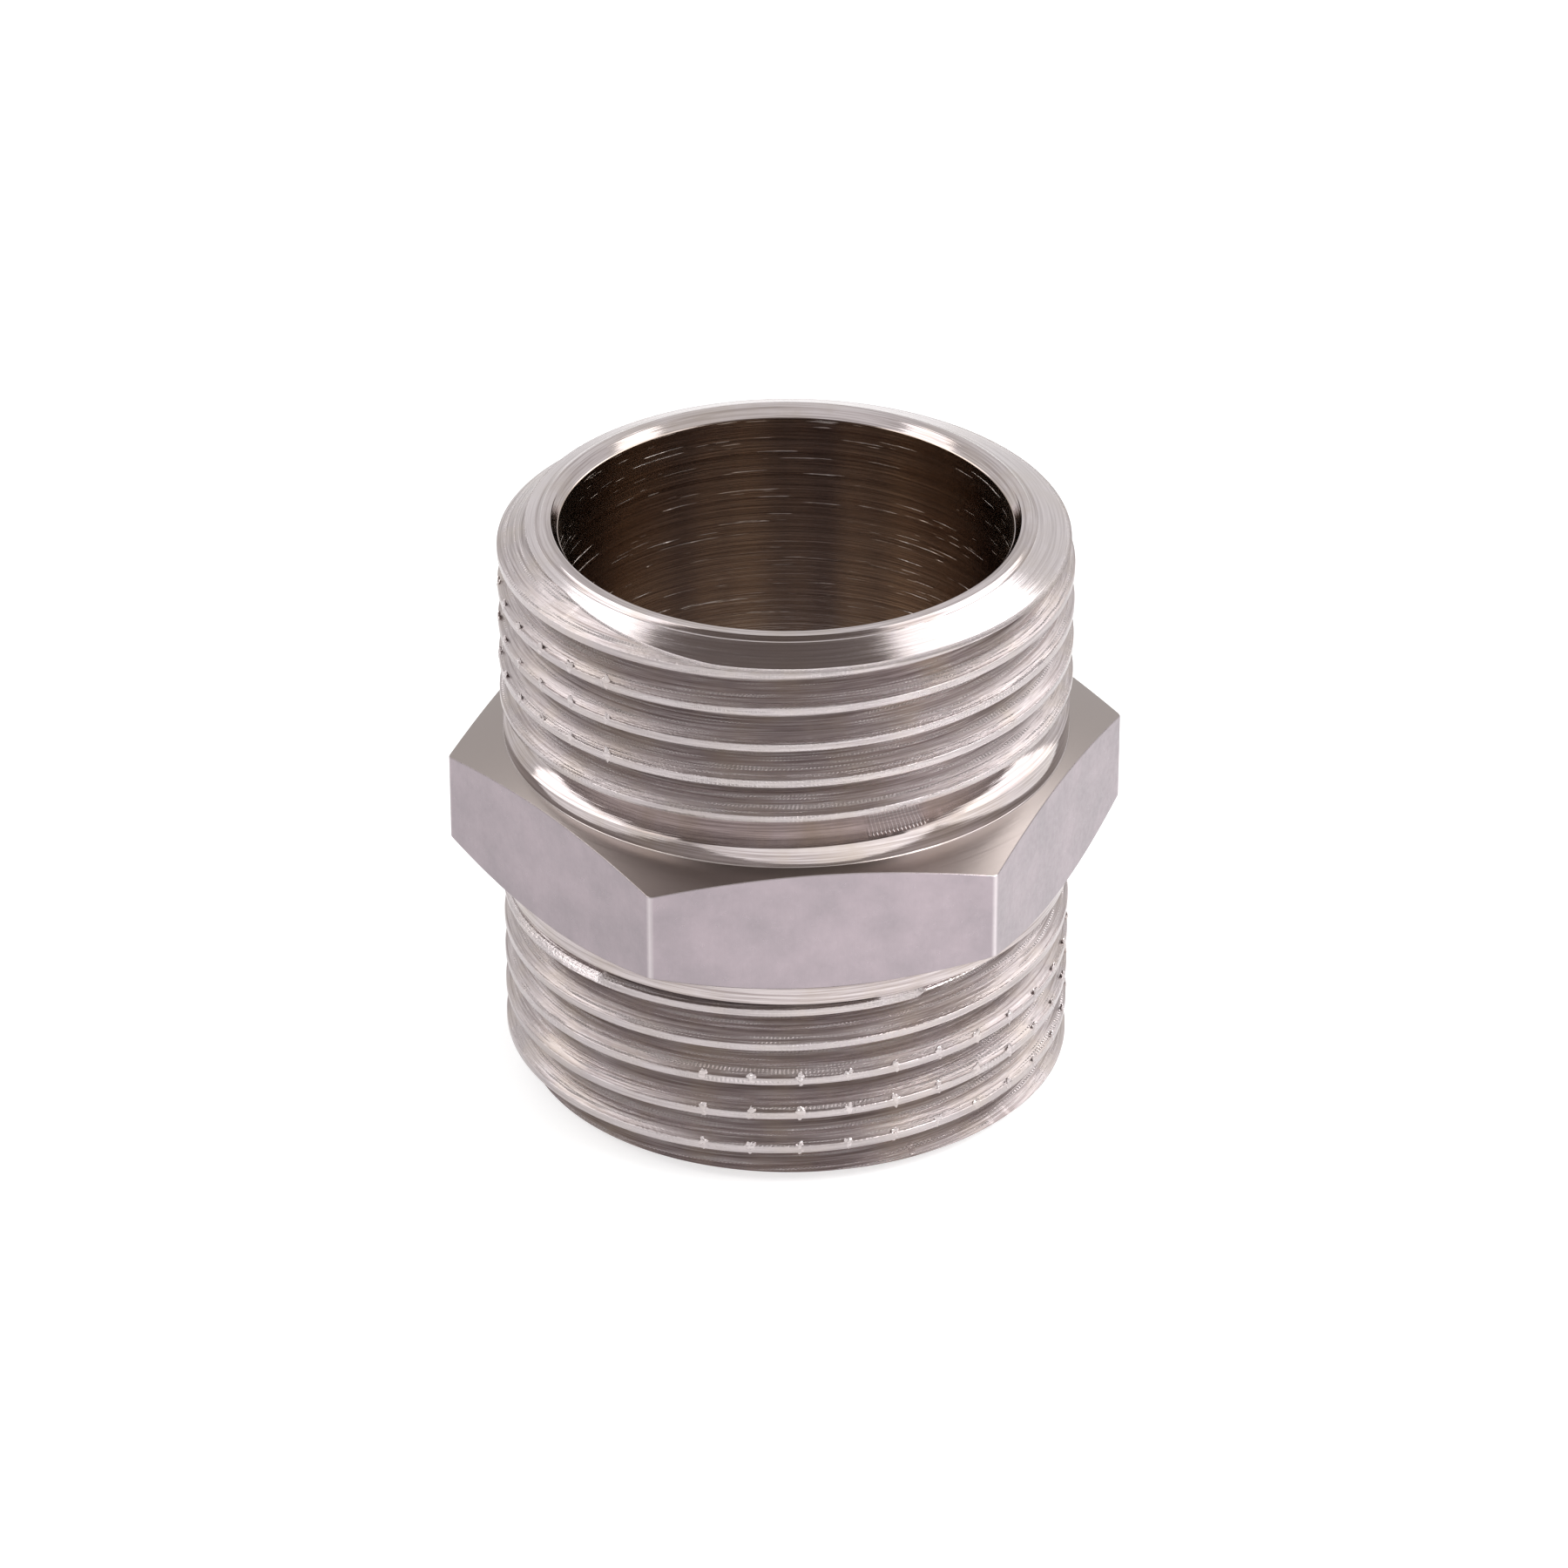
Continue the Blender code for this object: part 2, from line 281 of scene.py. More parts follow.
def lower_radius(height):
    """The lower thread, with its blunt last groove and the turned run-out under the neck."""
    radius = thread_radius(height, LOWER_CREST_HEIGHT)
    last_root = LOWER_CREST_HEIGHT + PITCH * (1.5 + AZIMUTH / 360)
    in_last_groove = np.abs(height - last_root) < PITCH / 2 - CREST_HALF_WIDTH
    radius = np.where(in_last_groove & (AZIMUTH > LAST_GROOVE_END), CREST_RADIUS, radius)
    run_out = CREST_RADIUS - (height - RUN_OUT_LOW) * RUN_OUT_SLOPE * run_out_share()
    return np.minimum(radius, np.maximum(run_out, CREST_RADIUS - RUN_OUT_DEPTH))


def relief_climb():
    """How far the relief has climbed with the thread's helix in each column."""
    back = 1 - ramp(np.abs(AZIMUTH), HELIX_LEFT_AT, 180.0)
    return PITCH * AZIMUTH / 360 * back


def relief_radius(height):
    """The concave relief groove between the upper thread and the collar."""
    height = height - relief_climb()
    below = (RELIEF_FLOOR_HEIGHT - height) / (RELIEF_FLOOR_HEIGHT - COLLAR_TOP)
    above = (height - RELIEF_FLOOR_HEIGHT) / (RELIEF_TOP - RELIEF_FLOOR_HEIGHT)
    lower_side = (COLLAR_RADIUS - RELIEF_FLOOR_RADIUS) * np.maximum(below, 0) ** RELIEF_LOWER_CURVE
    upper_side = (CREST_RADIUS - RELIEF_FLOOR_RADIUS) * np.maximum(above, 0) ** RELIEF_UPPER_CURVE
    return RELIEF_FLOOR_RADIUS + lower_side + upper_side


def degrees_from_corner():
    """Azimuth of each column from the hexagon's nearest corner."""
    return (AZIMUTH + 60) % 60 - 30


def hex_radius():
    """Radius of the hexagon's outline in each column, with its corners rounded."""
    from_corner = np.radians(degrees_from_corner())
    half_side = math.radians(30)
    corner_centre = (APOTHEM - HEX_CORNER_FILLET) / math.cos(half_side)
    reach = np.sqrt(np.maximum(HEX_CORNER_FILLET**2 - (corner_centre * np.sin(from_corner)) ** 2, 0.0))
    arc = corner_centre * np.cos(from_corner) + reach
    tangent = math.atan2(HEX_CORNER_FILLET / 2, corner_centre + HEX_CORNER_FILLET * math.cos(half_side))
    flat = APOTHEM / np.cos(half_side - np.abs(from_corner))
    return np.where(np.abs(from_corner) < tangent, arc, flat)


def crossing(outer, thread, inside, outside):
    """The height in each column where the thread meets the surface outside it, found by bisection."""
    low = np.zeros_like(AZIMUTH) + inside
    high = np.zeros_like(AZIMUTH) + outside
    for _ in range(30):
        middle = (low + high) / 2
        in_thread = outer(middle) >= thread(middle)
        low = np.where(in_thread, middle, low)
        high = np.where(in_thread, high, middle)
    return (low + high) / 2


MARKS = ("tool_height", "crest", "threaded", "smooth", "faced", "bright", "ribbed", "drawn", "bored")
# The bright mark paints highlights: a little on the end faces, more on the chamfers
END_FACE_MARKS = {"smooth": 0.5, "bright": 0.1}
CHAMFER_MARKS = {"smooth": 0.5, "bright": 0.4}


class Profile:
    """Rows of points up the outside of the fitting and down its bore, one point per column in each row.

    Each row also carries marks for the finish: the height that its turning marks follow, which in a thread
    is the height from the nearest crest, and how far the row has each kind of surface.
    """

    def __init__(self):
        self.radii = []
        self.heights = []
        self.marks = {name: [] for name in MARKS}

    def add(self, radius, height, tool_height=None, **marks):
        height = np.broadcast_to(height, AZIMUTH.shape)
        self.radii.append(np.broadcast_to(radius, AZIMUTH.shape))
        self.heights.append(height)
        marks["tool_height"] = (height if tool_height is None else tool_height) * MM
        for name, values in self.marks.items():
            values.append(np.broadcast_to(marks.get(name, 0.0), AZIMUTH.shape))

    def add_line(self, start, end, count, **marks):
        """Rows from one (radius, height) to another, including both."""
        for share in np.linspace(0.0, 1.0, count):
            radius = start[0] + (end[0] - start[0]) * share
            height = start[1] + (end[1] - start[1]) * share
            self.add(radius, height, **marks)

    def add_thread(self, radius_at, crest_height, low, high, smooth_at=lambda height: 0.0):
        """Rows that follow a thread's helix, stopped at the heights low and high of each column."""
        first_turn = math.floor((low.min() - crest_height) / PITCH) - 1
        last_turn = math.ceil((high.max() - crest_height) / PITCH) + 1
        self.add(radius_at(low), low, height_from_crest(low, crest_height))
        for turn in range(first_turn, last_turn + 1):
            for offset, crest in thread_rows():
                helix = crest_height + PITCH * (turn + AZIMUTH / 360) + offset
                height = np.clip(helix, low, high)
                marks = {"crest": crest * (height == helix), "threaded": 1 - smooth_at(height)}
                self.add(radius_at(height), height, height_from_crest(height, crest_height), **marks)
        self.add(radius_at(high), high, height_from_crest(high, crest_height))


def thread_rows():
    """(height from the crest, share of crest) of the rows in one pitch of a thread."""
    root_tangent = PITCH / 2 - ROOT_FILLET * math.cos(FLANK_ANGLE)
    upper_side = [
        (CREST_HALF_WIDTH - CREST_ROUNDING, 1.0),
        (CREST_HALF_WIDTH - CREST_ROUNDING / 3, 1.0),
        (CREST_HALF_WIDTH + CREST_ROUNDING / 3, 0.7),
        (CREST_HALF_WIDTH + CREST_ROUNDING, 0.3),
        (root_tangent, 0.0),
        ((root_tangent + PITCH / 2) / 2, 0.0),
    ]
    lower_side = [(-offset, crest) for offset, crest in reversed(upper_side)]
    return [(-PITCH / 2, 0.0)] + lower_side + [(0.0, 1.0)] + upper_side


def lower_end(profile):
    """From the bore's mouth over the lower end face to the start of the chamfer, then the lower thread."""
    profile.add_line((MOUTH_RADIUS + EDGE, 0.0), (FACE_RADIUS - EDGE, 0.0), 3, **END_FACE_MARKS)
    profile.add(FACE_RADIUS, EDGE, **END_FACE_MARKS)
    profile.add(STEP_RADIUS - EDGE / 2, STEP_DEPTH - EDGE, smooth=0.5)
    low = crossing(chamfer_radius, lower_radius, CHAMFER_DEPTH, STEP_DEPTH)
    top = np.full_like(AZIMUTH, NECK_BOTTOM)
    for share in np.linspace(0.0, 1.0, 8)[:-1]:
        height = STEP_DEPTH + (low - STEP_DEPTH) * share
        profile.add(chamfer_radius(height), height, **CHAMFER_MARKS)
    profile.add_thread(lower_radius, LOWER_CREST_HEIGHT, low, top, in_run_out)


def neck_and_hexagon(profile):
    """The plain neck over the lower thread, then the hexagon's underside, flats and top."""
    cut = lower_radius(np.full_like(AZIMUTH, NECK_BOTTOM))
    profile.add(np.maximum(cut, CREST_RADIUS - EDGE), NECK_BOTTOM)
    profile.add_line((CREST_RADIUS, NECK_BOTTOM + EDGE), (CREST_RADIUS, HEX_BOTTOM - EDGE), 4)
    outline = hex_radius()
    bottom = HEX_BOTTOM + (outline - CREST_RADIUS) * HEX_BOTTOM_SLOPE
    top = HEX_TOP - (outline - COLLAR_RADIUS) * HEX_TOP_SLOPE
    for share in (0.0, 0.35, 0.7, 1.0):
        radius = CREST_RADIUS + EDGE + (outline - CREST_RADIUS - 2 * EDGE) * share
        profile.add(radius, HEX_BOTTOM + (radius - CREST_RADIUS) * HEX_BOTTOM_SLOPE, faced=1.0)
    # Painted highlight: a pale strip down each rounded corner of the hexagon
    corner_highlight = CORNER_HIGHLIGHT * np.maximum(1 - np.abs(degrees_from_corner()) / CORNER_HALF_ANGLE, 0.0)
    for share in (0.0, 0.25, 0.5, 0.75, 1.0):
        profile.add(outline, bottom + EDGE + (top - bottom - 2 * EDGE) * share, drawn=1.0, bright=corner_highlight)
    for share in (1.0, 0.7, 0.35, 0.0):
        radius = COLLAR_RADIUS + EDGE + (outline - COLLAR_RADIUS - 2 * EDGE) * share
        profile.add(radius, HEX_TOP - (radius - COLLAR_RADIUS) * HEX_TOP_SLOPE, faced=1.0)


def collar_and_relief(profile):
    """The collar and the relief groove over it; returns the height where each column reaches the thread."""
    climb = relief_climb()
    collar_top = COLLAR_TOP + climb
    for share in np.linspace(0.0, 1.0, 5):
        height = HEX_TOP + EDGE + (collar_top - HEX_TOP - 2 * EDGE) * share
        profile.add(COLLAR_RADIUS, height, smooth=1.0)
    low = crossing(relief_radius, upper_radius, RELIEF_TOP + climb, RELIEF_FLOOR_HEIGHT + climb)
    ribs = ramp(AZIMUTH, RIBS_FROM, RIBS_FROM + RIBS_FADE) * (1 - ramp(AZIMUTH, RIBS_TO - RIBS_FADE, RIBS_TO))
    for share in np.linspace(0.0, 1.0, 16):
        height = collar_top + (low - collar_top) * share
        ribbed = ribs * (0.1 < share < 0.8)
        profile.add(relief_radius(height), height, height - climb, smooth=1.0, ribbed=ribbed)
    return low


def upper_radius(height):
    return thread_radius(height, UPPER_CREST_HEIGHT)


def upper_end(profile, low):
    """The upper thread, then the chamfer and the end face in to the bore's mouth."""
    high = LENGTH - crossing(
        chamfer_radius, lambda depth: upper_radius(LENGTH - depth), CHAMFER_DEPTH, STEP_DEPTH
    )
    profile.add_thread(upper_radius, UPPER_CREST_HEIGHT, low, high)
    for share in np.linspace(0.0, 1.0, 8)[1:]:
        height = high + (LENGTH - STEP_DEPTH - high) * share
        profile.add(chamfer_radius(LENGTH - height), height, **CHAMFER_MARKS)
    profile.add(STEP_RADIUS - EDGE / 2, LENGTH - STEP_DEPTH + EDGE, smooth=0.5)
    profile.add(FACE_RADIUS, LENGTH - EDGE, **END_FACE_MARKS)
    profile.add_line((FACE_RADIUS - EDGE, LENGTH), (MOUTH_RADIUS + EDGE, LENGTH), 3, **END_FACE_MARKS)


def bore(profile):
    upper_mouth = LENGTH - MOUTH_DEPTH
    profile.add(MOUTH_RADIUS, LENGTH - EDGE, smooth=1.0)
    profile.add(BORE_RADIUS + EDGE, upper_mouth, smooth=1.0)
    profile.add_line((BORE_RADIUS, upper_mouth - EDGE), (BORE_RADIUS, MOUTH_DEPTH + EDGE), 12, bored=1.0)
    profile.add(BORE_RADIUS + EDGE, MOUTH_DEPTH, bored=1.0)
    profile.add(MOUTH_RADIUS, EDGE)


def whole_profile():
    profile = Profile()
    lower_end(profile)
    neck_and_hexagon(profile)
    relief_end = collar_and_relief(profile)
    upper_end(profile, relief_end)
    bore(profile)
    return profile


def burr_places():
    """(azimuth, height) of each burr, where a crest has been nicked at regular steps round the thread."""
    for crest_height, first, step, count in BURR_ROWS:
        for index in range(count):
            azimuth = first + step * index
            yield azimuth, crest_height + PITCH * azimuth / 360 + BURR_RISE


def unit_sphere():
    """Points and faces of a ball of radius 1."""
    shape = bmesh.new()
    bmesh.ops.create_icosphere(shape, subdivisions=3, radius=1.0)
    shape.verts.ensure_lookup_table()
    points = [vertex.co.copy() for vertex in shape.verts]
    faces = [[vertex.index for vertex in face.verts] for face in shape.faces]
    shape.free()
    return points, faces


def lump(sphere_points, azimuth, height):
    """A ball squeezed and roughened into a lump of metal pushed up on a crest."""
    place = direction(azimuth, 0) * BURR_RADIUS + Vector((0, 0, height))
    turn = Matrix.Rotation(math.radians(azimuth), 3, "Z")
    points = []
    for point in sphere_points:
        arm = turn @ Vector([value * size for value, size in zip(point, BURR_SIZE)])
        rough = noise.noise((place + arm) / BURR_GRAIN)
        points.append(place + arm * (1 + BURR_ROUGHNESS * rough))
    return points


def burrs():
    """Points, faces and marks of all the burrs."""
    sphere_points, sphere_faces = unit_sphere()
    points = []
    faces = []
    for azimuth, height in burr_places():
        start = len(points)
        points += lump(sphere_points, azimuth, height)
        faces += [[start + corner for corner in face] for face in sphere_faces]
    marks = {name: np.zeros(len(points)) for name in MARKS}
    marks["tool_height"] = np.array([point.z for point in points]) * MM
    marks["crest"] = np.ones(len(points))
    return np.array(points) * MM, faces, marks


def skin(profile):
    """Points, four-sided faces and marks of the rows joined up, the last row to the first."""
    radii = np.array(profile.radii)
    heights = np.array(profile.heights)
    angle = np.radians(AZIMUTH)
    points = np.stack([radii * np.sin(angle), -radii * np.cos(angle), heights], axis=-1) * MM
    index = np.arange(radii.size).reshape(radii.shape)
    above = np.roll(index, -1, axis=0)
    faces = np.stack([index[:, :-1], index[:, 1:], above[:, 1:], above[:, :-1]], axis=-1)
    marks = {name: np.array(values).ravel() for name, values in profile.marks.items()}
    return points.reshape(-1, 3), faces.reshape(-1, 4).tolist(), marks


def merge_close_points(mesh):
    """Merges the rows and columns that coincide, which closes the mesh."""
    shape = bmesh.new()
    shape.from_mesh(mesh)
    bmesh.ops.remove_doubles(shape, verts=shape.verts, dist=MERGE_DISTANCE * MM)
    bmesh.ops.dissolve_degenerate(shape, edges=shape.edges, dist=MERGE_DISTANCE * MM)
    shape.to_mesh(mesh)
    shape.free()


def nipple_mesh(name):
    """The fitting and the burrs on its crests, as one mesh with a float attribute for each mark."""
    points, faces, marks = skin(whole_profile())
    burr_points, burr_faces, burr_marks = burrs()
    faces += [[len(points) + corner for corner in face] for face in burr_faces]
    mesh = bpy.data.meshes.new(name)
    mesh.from_pydata(np.concatenate([points, burr_points]).tolist(), [], faces)
    for mark in MARKS:
        attribute = mesh.attributes.new(mark, "FLOAT", "POINT")
        attribute.data.foreach_set("value", np.concatenate([marks[mark], burr_marks[mark]]))
    merge_close_points(mesh)
    mesh.shade_smooth()
    mesh.set_sharp_from_angle(angle=math.radians(SHARP_ANGLE))
    return mesh


def nipple(material):
    mesh = nipple_mesh("nipple")
    mesh.materials.append(material)
    made = bpy.data.objects.new("nipple", mesh)
    bpy.context.scene.collection.objects.link(made)
    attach(made, "root")
    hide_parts(NODE)


MIX_SOCKETS = {"FLOAT": (2, 3, 0), "RGBA": (6, 7, 2)}  # where a Mix node has its two inputs and its result


class Nodes:
    """Adds shader nodes to a material and wires them. An input is a socket, a constant or None."""

    def __init__(self, material):
        self.tree = material.node_tree

    def add(self, kind, *inputs, **settings):
        node = self.tree.nodes.new(kind)
        for name, value in settings.items():
            setattr(node, name, value)
        for socket, value in zip(node.inputs, inputs):
            self.feed(socket, value)
        return node

    def feed(self, socket, value):
        if isinstance(value, bpy.types.NodeSocket):
            self.tree.links.new(value, socket)
        elif value is not None:
            socket.default_value = value

    def maths(self, operation, *inputs):
        return self.add("ShaderNodeMath", *inputs, operation=operation).outputs[0]

    def weighted_sum(self, *terms):
        """The sum of (socket, weight) terms."""
        total = self.maths("MULTIPLY", *terms[0])
        for value, weight in terms[1:]:
            total = self.maths("MULTIPLY_ADD", value, weight, total)
        return total

    def spread(self, value, start, end, low=0.0, high=1.0):
        """Low where the value is start, high where it is end, and linear between."""
        return self.add("ShaderNodeMapRange", value, start, end, low, high).outputs[0]

    def mix(self, share, first, second):
        """A number or colour that goes from the first to the second as the share goes from 0 to 1."""
        is_colour = isinstance(first, tuple) or getattr(first, "type", "") == "RGBA"
        data_type = "RGBA" if is_colour else "FLOAT"
        first_at, second_at, result_at = MIX_SOCKETS[data_type]
        node = self.add("ShaderNodeMix", share, data_type=data_type)
        self.feed(node.inputs[first_at], first)
        self.feed(node.inputs[second_at], second)
        return node.outputs[result_at]

    def mark(self, name):
        return self.add("ShaderNodeAttribute", attribute_name=name).outputs["Fac"]

    def noise(self, vector, w, scale, detail, roughness=0.6):
        inputs = (vector, w, scale, detail, roughness)
        return self.add("ShaderNodeTexNoise", *inputs, noise_dimensions="4D").outputs[0]


class Finish:
    """The patterns and marks that the finish is made of, as sockets.

    The patterns that fill space each have their own w, so that no two are alike.
    """

    def __init__(self, nodes):
        place = nodes.add("ShaderNodeTexCoord").outputs["Object"]
        x, y, z = nodes.add("ShaderNodeSeparateXYZ", place).outputs
        across = nodes.add("ShaderNodeCombineXYZ", x, y).outputs[0]
        grain_z = nodes.maths("MULTIPLY", z, 1 / GRAIN_LENGTH_RATIO)
        grain_at = nodes.add("ShaderNodeCombineXYZ", x, y, grain_z).outputs[0]
        self.grain = nodes.noise(grain_at, 0.0, GRAIN_SCALE, detail=3)
        self.pits = nodes.noise(place, 1.0, PIT_SCALE, detail=3)
        self.lumps = nodes.noise(place, 2.0, LUMP_SCALE, detail=2)
        self.tarnish = nodes.noise(place, 3.0, TARNISH_SCALE, detail=4)
        self.reflection_bands = nodes.noise(across, 4.0, REFLECTION_BAND_SCALE, detail=0)
        around = nodes.maths("ARCTAN2", x, y)
        self.ribs = nodes.maths("SINE", nodes.maths("MULTIPLY", around, RIBS_PER_TURN))
        self.read_marks(nodes)
        self.add_turning_marks(nodes, across, x, y, z)
        self.add_scratches(nodes, x, y)

    def read_marks(self, nodes):
        """The marks that the mesh carries."""
        self.tool_height = nodes.mark("tool_height")
        self.crest = nodes.mark("crest")
        self.threaded = nodes.mark("threaded")
        self.smooth = nodes.mark("smooth")
        self.ribbed = nodes.mark("ribbed")
        self.faced = nodes.mark("faced")
        self.bright = nodes.mark("bright")
        self.drawn = nodes.mark("drawn")
        self.bored = nodes.mark("bored")

    def add_turning_marks(self, nodes, across, x, y, z):
        """Lines and waves that run round the fitting, fine along the profile and long round it."""
        radius = nodes.add("ShaderNodeVectorMath", across, operation="LENGTH").outputs["Value"]
        along_x = nodes.maths("MULTIPLY", x, 1 / LINE_LENGTH_RATIO)
        climb = nodes.maths("MULTIPLY", z, 1 / TURN_CHANGE_RATIO)
        along_y = nodes.maths("MULTIPLY_ADD", y, 1 / LINE_LENGTH_RATIO, climb)
        lines_at = nodes.add("ShaderNodeCombineXYZ", radius, self.tool_height, along_x).outputs[0]
        self.lines = nodes.noise(lines_at, along_y, LINE_SCALE, detail=3, roughness=0.7)
        self.waves = nodes.noise(lines_at, along_y, WAVE_SCALE, detail=2)

    def add_scratches(self, nodes, x, y):
        """Short scratches that run round the bore, most of them at its sides, coloured near white as a
        painted glint.
        """
        short_x = nodes.maths("MULTIPLY", x, 1 / SCRATCH_LENGTH_RATIO)
        short_y = nodes.maths("MULTIPLY", y, 1 / SCRATCH_LENGTH_RATIO)
        scratches_at = nodes.add("ShaderNodeCombineXYZ", 0.0, self.tool_height, short_x).outputs[0]
        scratches = nodes.noise(scratches_at, short_y, SCRATCH_SCALE, detail=2)
        from_middle = nodes.maths("ABSOLUTE", x)
        at_sides = nodes.spread(from_middle, SCRATCHED_FROM * MM, SCRATCHED_TO * MM, LEAST_SCRATCHED, 1.0)
        self.scratches = nodes.maths("MULTIPLY", nodes.spread(scratches, *SCRATCH_RANGE), at_sides)


def metal_colour(nodes, finish):
    """Brownish where the plate is thin and streaked along the turning marks; painted highlights on the
    hexagon's corners, end faces and chamfers, crests paled, painted glints on the bore's scratches, and
    painted shade and reflection bands in the bore.
    """
    streaks = nodes.spread(finish.lines, *STREAK_RANGE)
    turned = nodes.mix(streaks, TURNED_DARK, TURNED_LIGHT)
    turned = nodes.mix(finish.threaded, turned, nodes.mix(streaks, THREAD_DARK, THREAD_LIGHT))
    thin_plate = nodes.spread(finish.tarnish, *TARNISH_RANGE, 0.0, MOST_TARNISH)
    turned = nodes.mix(thin_plate, turned, TURNED_WARM)
    turned = nodes.mix(finish.faced, turned, FACED)
    flat = nodes.mix(nodes.spread(finish.tarnish, *MOTTLE_RANGE), FLAT_DARK, FLAT_LIGHT)
    # Painted shade and reflection in the bore: bands of dark and light round it
    reflection_band_share = nodes.spread(finish.reflection_bands, *REFLECTION_BAND_RANGE)
    bored = nodes.mix(reflection_band_share, BORE_PAINTED_SHADE, nodes.mix(streaks, BORE_PAINTED_REFLECTION_DIM, BORE_PAINTED_REFLECTION))
    # Painted glint: the scratches are coloured near white
    bored = nodes.mix(finish.scratches, bored, SCRATCH_GLINT)
    colour = nodes.mix(finish.drawn, turned, flat)
    colour = nodes.mix(finish.bored, colour, bored)
    # Painted highlights where the bright mark is set: hexagon corners, end faces and chamfers
    colour = nodes.mix(finish.bright, colour, EDGE_LIGHT)
    return nodes.mix(nodes.maths("MULTIPLY", finish.crest, CREST_SHINE), colour, EDGE_LIGHT)


def metal_roughness(nodes, finish):
    """Shiny where it is smooth, duller in the threads and on the flats."""
    turned = nodes.spread(finish.waves, *WAVE_RANGE, *TURNED_ROUGHNESS)
    threaded = nodes.spread(finish.waves, *WAVE_RANGE, *THREAD_ROUGHNESS)
    turned = nodes.mix(finish.threaded, turned, threaded)
    turned = nodes.mix(finish.smooth, turned, SMOOTH_ROUGHNESS)
    turned = nodes.mix(finish.faced, turned, FACED_ROUGHNESS)
    flat = nodes.spread(finish.pits, *PIT_RANGE, *FLAT_ROUGHNESS)
    return nodes.mix(finish.drawn, turned, flat)


def metal_relief(nodes, finish):
    """Height of the marks in millimetres: turning, chatter ribs, dots, lumps and scratches, or flat grain."""
    clean = nodes.maths("MAXIMUM", finish.smooth, finish.faced)
    fine_share = nodes.maths("MULTIPLY_ADD", clean, -SMOOTHED_AWAY, 1.0)
    turned = nodes.weighted_sum((finish.lines, LINE_DEPTH), (finish.waves, WAVE_DEPTH))
    turned = nodes.maths("MULTIPLY", turned, fine_share)
    ribs = nodes.maths("MULTIPLY", finish.ribs, finish.ribbed)
    dotted = nodes.maths("MULTIPLY", nodes.spread(finish.lines, *DOT_RANGE), finish.threaded)
    dots = nodes.maths("MULTIPLY", finish.ribs, dotted)
    lumps = nodes.maths("MULTIPLY", finish.lumps, finish.crest)
    scratches = nodes.maths("MULTIPLY", finish.scratches, finish.bored)
    turned = nodes.weighted_sum(
        (turned, 1.0), (ribs, RIB_DEPTH), (dots, DOT_DEPTH), (lumps, LUMP_DEPTH), (scratches, -SCRATCH_DEPTH)
    )
    flat = nodes.weighted_sum((finish.grain, GRAIN_DEPTH), (finish.pits, PIT_DEPTH))
    return nodes.mix(finish.drawn, turned, flat)


def nickel():
    """Thin bright nickel plate over turned and drawn brass."""
    material = bpy.data.materials.new("nickel")
    material.use_nodes = True
    shader = material.node_tree.nodes["Principled BSDF"]
    nodes = Nodes(material)
    finish = Finish(nodes)
    shader.inputs["Metallic"].default_value = 1.0
    nodes.feed(shader.inputs["Base Color"], metal_colour(nodes, finish))
    nodes.feed(shader.inputs["Roughness"], metal_roughness(nodes, finish))
    bump = nodes.add("ShaderNodeBump")
    bump.inputs["Strength"].default_value = 1.0
    bump.inputs["Distance"].default_value = MM
    nodes.feed(bump.inputs["Height"], metal_relief(nodes, finish))
    nodes.feed(shader.inputs["Normal"], bump.outputs[0])
    return material


def plain_material(name, colour, glow):
    material = bpy.data.materials.new(name)
    material.use_nodes = True
    shader = material.node_tree.nodes["Principled BSDF"]
    shader.inputs["Base Color"].default_value = (*colour, 1.0)
    shader.inputs["Roughness"].default_value = SHEET_ROUGHNESS
    shader.inputs["Specular IOR Level"].default_value = SHEET_SPECULAR
    shader.inputs["Emission Color"].default_value = (*colour, 1.0)
    shader.inputs["Emission Strength"].default_value = glow
    return material


def disc(name, radius, height, colour, glow):
    """A flat round sheet of the studio, centred over the object."""
    shape = bmesh.new()
    bmesh.ops.create_circle(shape, cap_ends=True, segments=64, radius=radius)
    mesh = bpy.data.meshes.new(name)
    shape.to_mesh(mesh)
    shape.free()
    mesh.materials.append(plain_material(name, colour, glow))
    made = bpy.data.objects.new(name, mesh)
    made.location = (0, 0, height)
    bpy.context.scene.collection.objects.link(made)


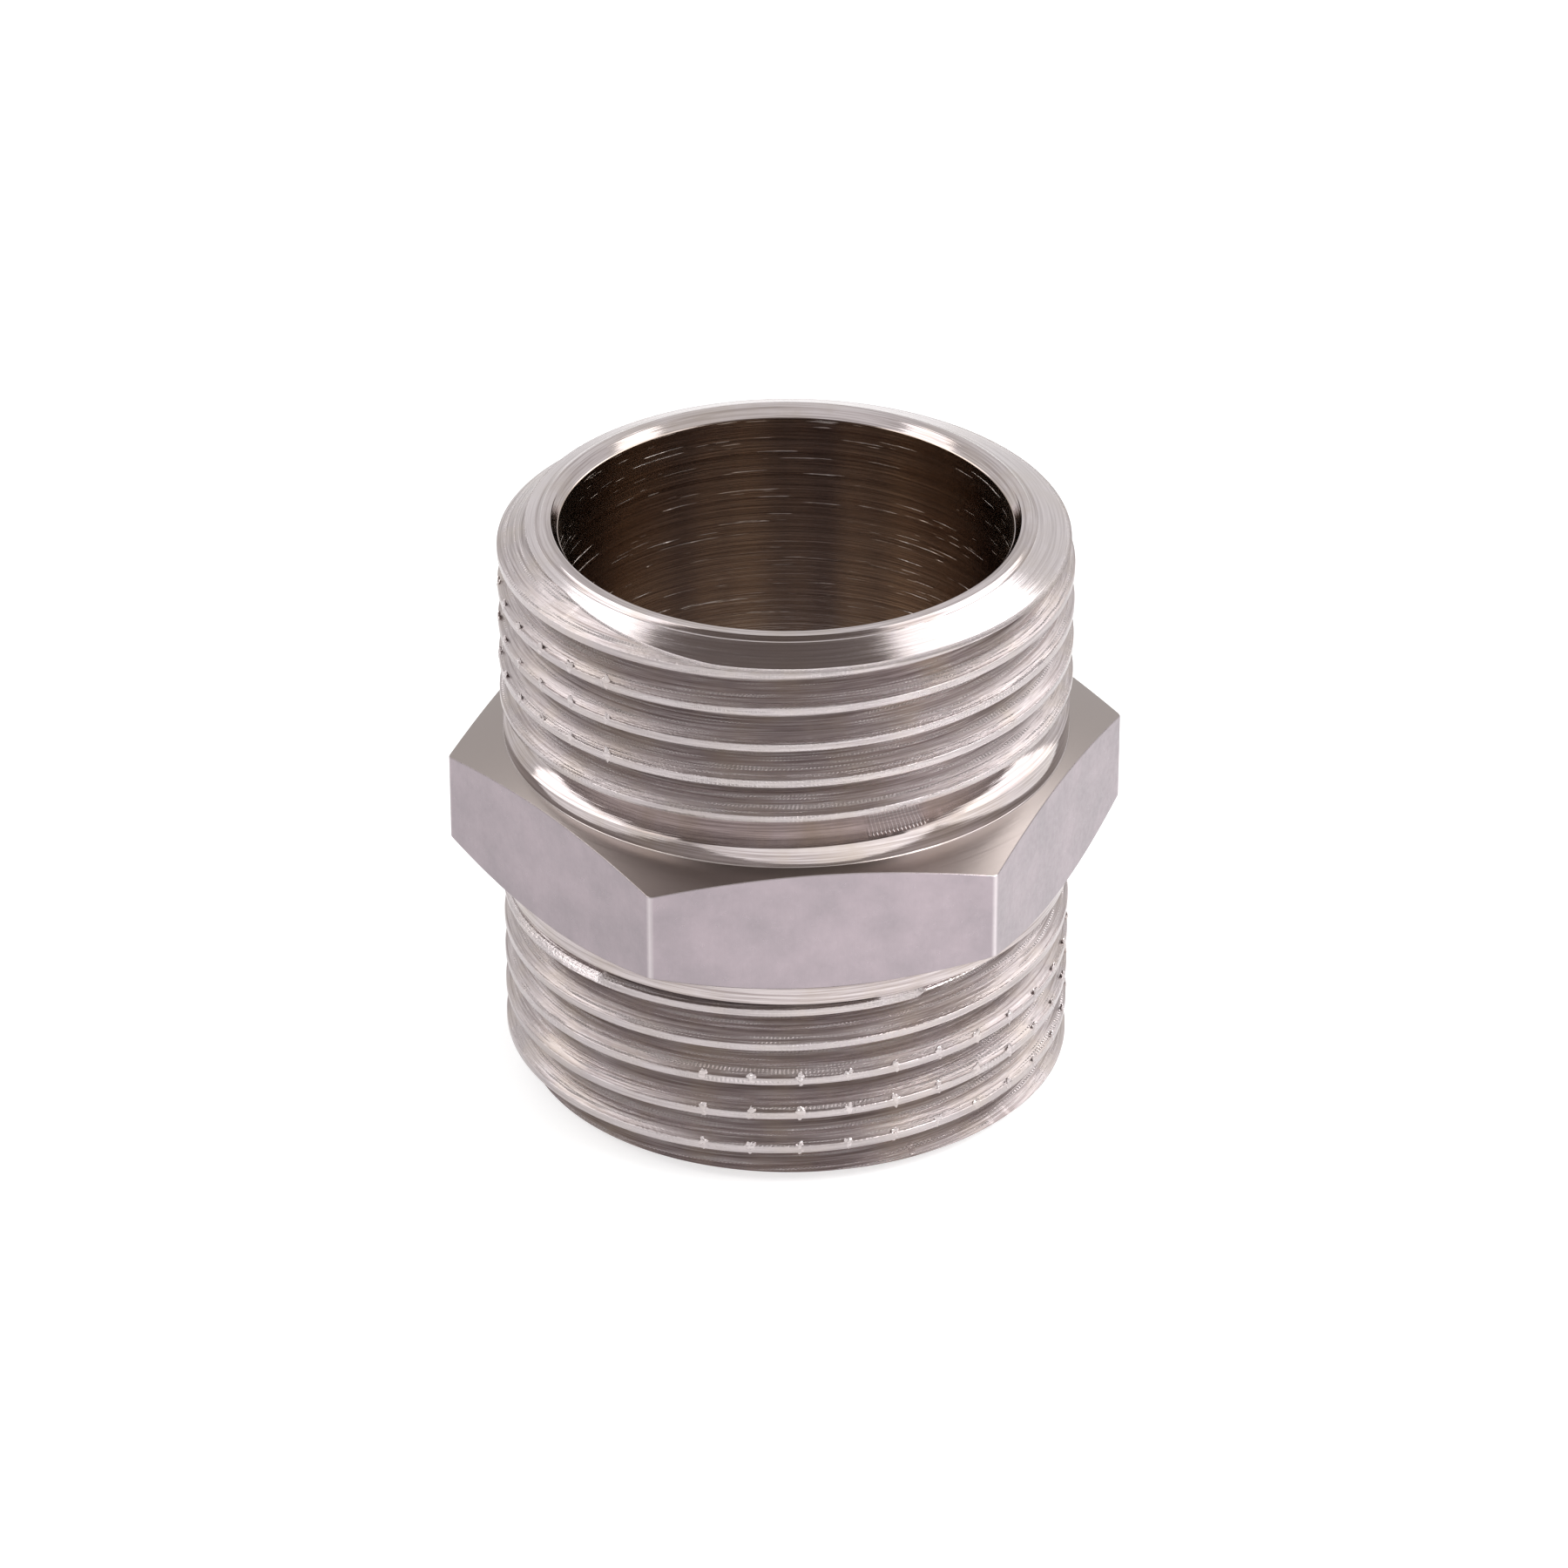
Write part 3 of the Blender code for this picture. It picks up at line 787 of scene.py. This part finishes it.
def area_light(name, place, away_from, width, height, brightness):
    """A rectangular light that shines away from one direction.

    A brightness of 1 is that of the white surroundings.
    """
    light = bpy.data.lights.new(name, "AREA")
    light.shape = "RECTANGLE"
    light.size = width
    light.size_y = height
    light.energy = brightness * math.pi * width * height
    made = bpy.data.objects.new(name, light)
    made.location = place
    made.rotation_euler = away_from.to_track_quat("Z", "Y").to_euler()
    bpy.context.scene.collection.objects.link(made)


def soft_box(name, azimuth, elevation, width, height, brightness):
    """A light round the object that shines at it."""
    towards = direction(azimuth, elevation)
    area_light(name, towards * SOFT_BOX_DISTANCE, towards, width, height, brightness)


def studio():
    disc("floor", FLOOR_RADIUS, 0.0, FLOOR_COLOUR, FLOOR_GLOW)
    card_radius = CARD_HEIGHT / math.tan(math.radians(CARD_ELEVATION))
    disc("overhead_card", card_radius, CARD_HEIGHT, CARD_COLOUR, 0.0)
    for name, from_behind, elevation, width, height, brightness in SOFT_BOXES:
        soft_box(name, CAMERA_AZIMUTH + 180 + from_behind, elevation, width, height, brightness)
    size = FLOOR_LIGHT_SIZE
    area_light("floor_light", FLOOR_LIGHT_PLACE, UP, size, size, FLOOR_LIGHT_BRIGHTNESS)
    world = bpy.data.worlds.new("studio")
    world.use_nodes = True
    background = world.node_tree.nodes["Background"]
    background.inputs["Color"].default_value = (1.0, 1.0, 1.0, 1.0)
    background.inputs["Strength"].default_value = WORLD_STRENGTH
    bpy.context.scene.world = world
    bpy.context.scene.view_settings.view_transform = "Standard"


def camera():
    data = bpy.data.cameras.new("camera")
    data.lens = CAMERA_LENS
    data.sensor_width = 36.0
    data.clip_start = 0.01
    made = bpy.data.objects.new("camera", data)
    towards = direction(CAMERA_AZIMUTH, CAMERA_ELEVATION)
    sideways = direction(CAMERA_AZIMUTH + 90, 0)
    aim = sideways * AIM_SIDEWAYS * MM + UP * AIM_HEIGHT * MM
    made.location = aim + towards * CAMERA_DISTANCE * MM
    made.rotation_euler = towards.to_track_quat("Z", "Y").to_euler()
    bpy.context.scene.collection.objects.link(made)
    bpy.context.scene.camera = made


studio()
camera()
nipple(nickel())
